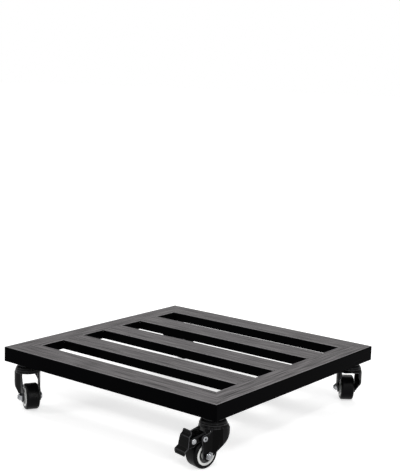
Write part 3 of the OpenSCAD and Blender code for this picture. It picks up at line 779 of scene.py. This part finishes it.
class CADDY_OT_wheels(bpy.types.Operator):
    """Rounds the edges of the wheel cores, hub covers and brake shoes, and finishes them and the
    tyres
    """

    bl_idname = "caddy.wheels"
    bl_label = "Wheels"

    def execute(self, context):
        settings = context.scene.caddy_caster
        rubber = new_material("moulded_rubber", moulded_rubber, settings)
        pale_roughness, black_roughness, grit = 0.4, 0.45, 0.6 * MM
        pale = new_material("moulded_pale_plastic", moulded_plastic, settings.ring_colour,
                            pale_roughness, grit)
        black = new_material("moulded_black_plastic", moulded_plastic, settings.cover_colour,
                             black_roughness, grit)
        for corner in CORNERS:
            give_finish(frame["nodes"]["tyre_" + corner], rubber)
            for kind, slot, finish in (("wheel_core_", "wheel_core", pale),
                                       ("hub_covers_", "hub_cover", black)):
                piece = rounded_copy(kind + corner, settings.mould_edge)
                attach(piece, "wheel_" + corner)
                give_finish(piece, finish)
        for corner in BRAKED_CORNERS:
            shoe = rounded_copy("brake_shoe_" + corner, settings.mould_edge)
            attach(shoe, "pedal_" + corner)
            give_finish(shoe, rubber)
        return {"FINISHED"}


class CADDY_OT_fasteners(bpy.types.Operator):
    """Makes the axle nuts and bolts and the rivets, and plates them and the stems"""

    bl_idname = "caddy.fasteners"
    bl_label = "Fasteners"

    def execute(self, context):
        settings = context.scene.caddy_caster
        zinc = new_material("zinc_plate", zinc_plate, settings)
        bright = new_material("ground_steel", ground_steel, settings)
        nuts = rounded_copy("stem_nuts", settings.mould_edge)
        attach(nuts, "frame")
        give_finish(nuts, zinc)
        for corner in CORNERS:
            give_finish(frame["nodes"]["stem_" + corner], zinc)
            give_finish(frame["nodes"]["swivel_balls_" + corner], bright)
            give_finish(frame["nodes"]["axle_bush_" + corner], bright)
        axle = joint_place("front_right_wheel_spin")
        place = caster_place("front_right", axle)
        for kind, model in (("axle_nut_", self.lock_nut(place)),
                            ("axle_bolt_", self.axle_bolt(place, settings.thread_pitch / MM))):
            for corner in CORNERS:
                axle = joint_place(corner + "_wheel_spin")
                place = caster_place(corner, axle, turned_round=corner in NUT_ON_THE_RIGHT)
                piece = place_copy(model, "made_" + kind + corner, place, "swivel_" + corner,
                                   "zinc", kind + corner)
                give_finish(piece, zinc)
            drop_model(model)
        rivets = (("brake_pin_", "swivel_", True), ("shoe_pin_", "pedal_", False))
        for kind, body, hollow in rivets:
            model = None
            for corner in BRAKED_CORNERS:
                place = caster_place(corner, self.middle_of(kind + corner))
                model = model or self.rivet(extents(kind + corner, place), hollow)
                piece = place_copy(model, "made_" + kind + corner, place, body + corner,
                                   "zinc", kind + corner)
                give_finish(piece, zinc)
            drop_model(model)
        return {"FINISHED"}

    def middle_of(self, node):
        """The middle of a node's box, in metres."""
        points = [point.co for point in frame["nodes"][node].data.vertices]
        return Vector([(min(p[axis] for p in points) + max(p[axis] for p in points)) / 2
                       for axis in range(3)])

    def lock_nut(self, place):
        """A hexagon with its corners turned off, a round collar and the ring inside it. The
        blank that it is cut to has a cone at its foot and one at its crown."""
        sharp = math.radians(25)
        low, high = extents("axle_nut_front_right", place)
        seat, end, across = low[1], high[1], high[2] - low[2]
        flat_r = across / 2
        foot_r, crown_r, collar_r = flat_r - 0.4, flat_r - 0.3, flat_r - 0.5
        corner_r = flat_r / math.cos(math.pi / 6)
        past_corners, past_ends = corner_r + 0.3, 1
        ring_r, ring_depth = SHANK_R + 0.7, 0.7
        collar = seat + 0.72 * (end - seat)
        nut = hexagon("lock_nut", across, seat, collar)
        blank = turned("nut_blank", (
            (0, seat - past_ends, 0), (foot_r, seat - past_ends, 0), (foot_r, seat, 0),
            (past_corners, seat + 0.5, 0), (past_corners, collar - 0.6, 0),
            (crown_r, collar + 0.1, 0), (crown_r, collar + past_ends, 0),
            (0, collar + past_ends, 0)), solid=True)
        cut_with(nut, blank, "INTERSECT")
        rim = turned("nut_collar", (
            (SHANK_R, collar - 0.5, 0), (collar_r, collar - 0.5, 0), (collar_r, end, 0.8),
            (ring_r, end, 0.3), (ring_r, end - ring_depth, 0),
            (SHANK_R, end - ring_depth, 0.3)))
        cut_with(nut, rim, "UNION")
        make_active(nut)
        bpy.ops.object.shade_smooth_by_angle(angle=sharp)
        return nut

    def axle_bolt(self, place, pitch):
        """A round head with a hexagon socket, a plain shank and a threaded end. The thread is
        drawn as rings, which look the same as a thread this fine."""
        low, high = extents("axle_bolt_front_right", place)
        nut_low, nut_high = extents("axle_nut_front_right", place)
        head_r, head_end, seat, end = high[2], low[1], -nut_low[1], high[1]
        hidden_thread, thread_depth, plain_end, end_bevel = 2, 0.45, 0.3, 0.5
        outline = [(0, head_end, 0), (head_r, head_end, 1.1), (head_r, seat, 0.2),
                   (SHANK_R, seat, 0)]
        along = nut_high[1] - hidden_thread
        while along + pitch < end - plain_end:
            outline += [(SHANK_R, along, 0), (SHANK_R - thread_depth, along + pitch / 2, 0)]
            along += pitch
        outline += [(SHANK_R, along, 0), (SHANK_R - end_bevel, end, 0), (0, end, 0)]
        bolt = turned("axle_bolt", outline, solid=True)
        across_flats, socket_depth, past_end = 4, 1.6, 1
        socket = hexagon("socket", across_flats, head_end - past_end, head_end + socket_depth)
        cut_with(bolt, socket, "DIFFERENCE")
        make_active(bolt)
        bpy.ops.object.shade_smooth_by_angle(angle=SMOOTH_ANGLE)
        return bolt

    def rivet(self, box, hollow):
        """A rivet with a domed head at each end; a hollow one has its ends rolled outwards."""
        head_height = 1.2
        (_, _, bottom), (_, end, top) = box
        head_r, seat = (top - bottom) / 2, end - head_height
        if hollow:
            pin_r, hole_r = 2.0, 1.3
            half = [(hole_r, end, 0.5), (head_r, end, 0.8)]
        else:
            pin_r, dome_r, shoulder_r = 1.5, 0.45 * head_r, 0.85 * head_r
            half = [(0, end, 0), (dome_r, end, 0.6), (shoulder_r, end - 0.35, 0.5)]
        half += [(head_r, seat, 0.1), (pin_r, seat, 0)]
        other_half = [(radius, -along, rounding) for radius, along, rounding in half]
        return turned("rivet", other_half + half[::-1], solid=not hollow)


class CADDY_PT_panel(bpy.types.Panel):
    """The caddy's operators and settings"""

    bl_label = "Plant caddy"
    bl_idname = "CADDY_PT_panel"
    bl_space_type = "VIEW_3D"
    bl_region_type = "UI"
    bl_category = "Caddy"

    def draw(self, context):
        for title, settings, operators in PANEL_ROWS:
            box = self.layout.box()
            box.label(text=title)
            group = getattr(context.scene, settings)
            for name in group.__annotations__:
                box.prop(group, name)
            for operator in operators:
                box.operator(operator.bl_idname)


PANEL_ROWS = (
    ("Stage", "caddy_stage", (CADDY_OT_stage,)),
    ("Frame", "caddy_frame", (CADDY_OT_frame,)),
    ("Casters", "caddy_caster",
     (CADDY_OT_pressed_steel, CADDY_OT_wheels, CADDY_OT_fasteners)),
)
SETTINGS = {
    "caddy_stage": CaddyStageSettings,
    "caddy_frame": CaddyFrameSettings,
    "caddy_caster": CaddyCasterSettings,
}
CLASSES = (
    *SETTINGS.values(),
    *(operator for row in PANEL_ROWS for operator in row[2]),
    CADDY_PT_panel,
)


def register():
    for cls in CLASSES:
        bpy.utils.register_class(cls)
    for name, cls in SETTINGS.items():
        setattr(bpy.types.Scene, name, PointerProperty(type=cls))


def unregister():
    for name in SETTINGS:
        delattr(bpy.types.Scene, name)
    for cls in reversed(CLASSES):
        bpy.utils.unregister_class(cls)


def main():
    register()
    bpy.ops.caddy.stage()
    bpy.ops.caddy.frame()
    bpy.ops.caddy.pressed_steel()
    bpy.ops.caddy.wheels()
    bpy.ops.caddy.fasteners()
    deselect_all()


if __name__ == "__main__":
    main()
